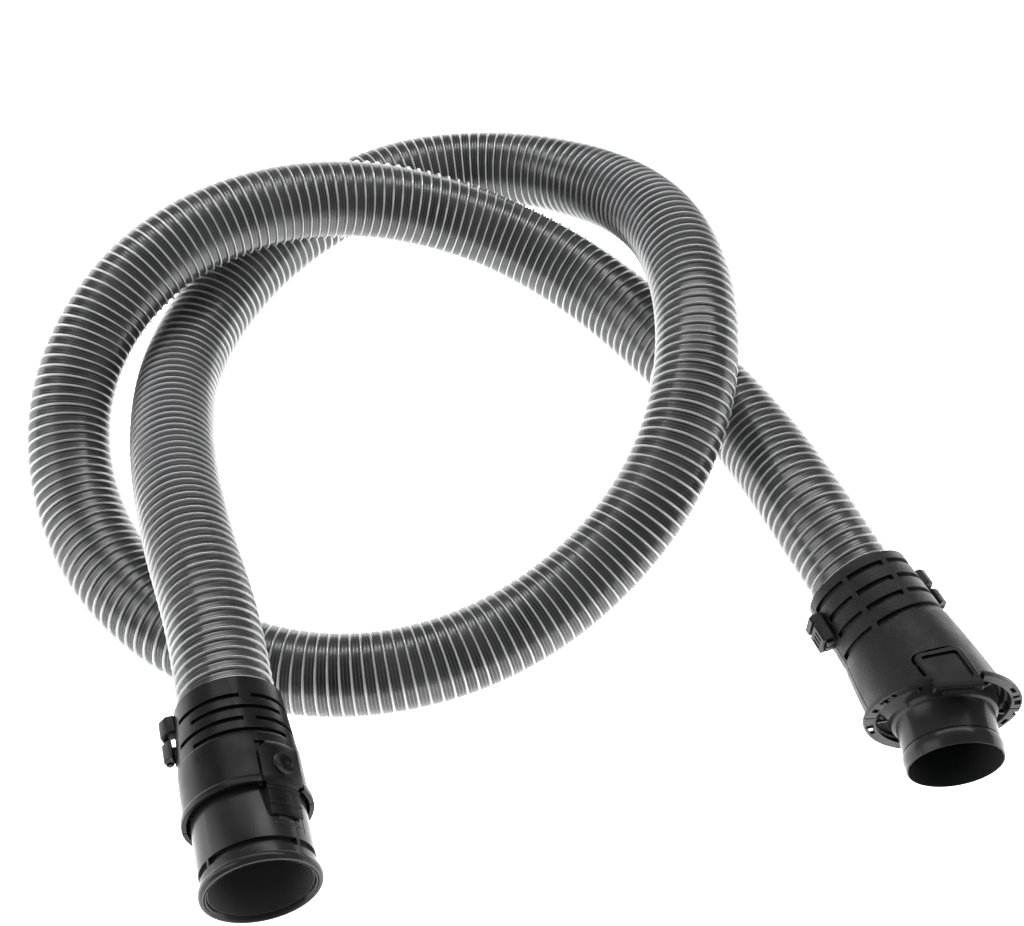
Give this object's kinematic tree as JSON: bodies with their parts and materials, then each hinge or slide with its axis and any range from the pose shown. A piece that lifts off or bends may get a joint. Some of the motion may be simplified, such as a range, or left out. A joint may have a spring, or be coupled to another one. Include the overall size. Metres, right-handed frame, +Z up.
{
  "type": "vacuum cleaner hose",
  "caption": "Ribbed suction hose laid in a loose overhand loop, with a swivelling push-button handle connector and a swivelling latched machine connector.",
  "frame": {"origin": "on the floor, under the middle of the two connectors' shared box", "axes": "+Z up from the floor; +X from the handle connector to the machine connector; -Y the way both connectors point"},
  "size_m": [0.4855, 0.5056, 0.1138],
  "materials": {
    "hose": "silver-grey, semi-gloss",
    "grain": "black, fine grain",
    "satin": "black, satin",
    "gloss": "black, gloss",
    "sleeve": "dark grey, moulded",
    "slip_ring": "natural, smooth",
    "rubber": "black, matt",
    "steel": "bright"
  },
  "bodies": {
    "hose": {"hose": "hose", "handle_hose_sleeve": "sleeve", "machine_hose_sleeve": "sleeve"},
    "handle": {"handle_upper_shell": "satin", "handle_lower_shell": "satin", "handle_socket": "gloss", "handle_mouth_ring": "gloss", "handle_seal": "rubber", "handle_thrust_ring": "slip_ring", "handle_hinge_pin": "satin", "handle_button_pin": "steel", "handle_button_spring": "steel"},
    "button": {"handle_button": "satin"},
    "machine": {"machine_upper_shell": "grain", "machine_lower_shell": "grain", "machine_spigot": "gloss", "machine_seal": "rubber", "machine_thrust_ring": "slip_ring", "machine_hinge_pin": "satin", "machine_clip": "satin", "machine_latch_pin": "steel", "machine_latch_spring": "steel"},
    "latch": {"machine_latch": "satin"}
  },
  "joints": [
    {"name": "handle_swivel", "type": "hinge", "parent": "hose", "child": "handle", "pos_m": [-0.1647, -0.0041, 0.0806], "axis": [0.2511, -0.964, 0.0872], "continuous": true},
    {"name": "machine_swivel", "type": "hinge", "parent": "hose", "child": "machine", "pos_m": [0.1261, 0.0871, 0.0364], "axis": [0.4147, -0.91, 0], "continuous": true},
    {"name": "button_press", "type": "hinge", "parent": "handle", "child": "button", "pos_m": [-0.13792, -0.04239, 0.10256], "axis": [-0.7338, -0.1309, 0.6666], "range_deg": [0, 6], "stiffness_Nm_per_rad": 0.4, "springref_deg": -8.59, "deforming": ["handle_button_spring"]},
    {"name": "latch_press", "type": "hinge", "parent": "machine", "child": "latch", "pos_m": [0.15264, 0.02886, 0.06221], "axis": [-0.9805, -0.1967, 0], "range_deg": [0, 8], "stiffness_Nm_per_rad": 0.5, "springref_deg": -8.59, "deforming": ["machine_latch_spring"]}
  ]
}
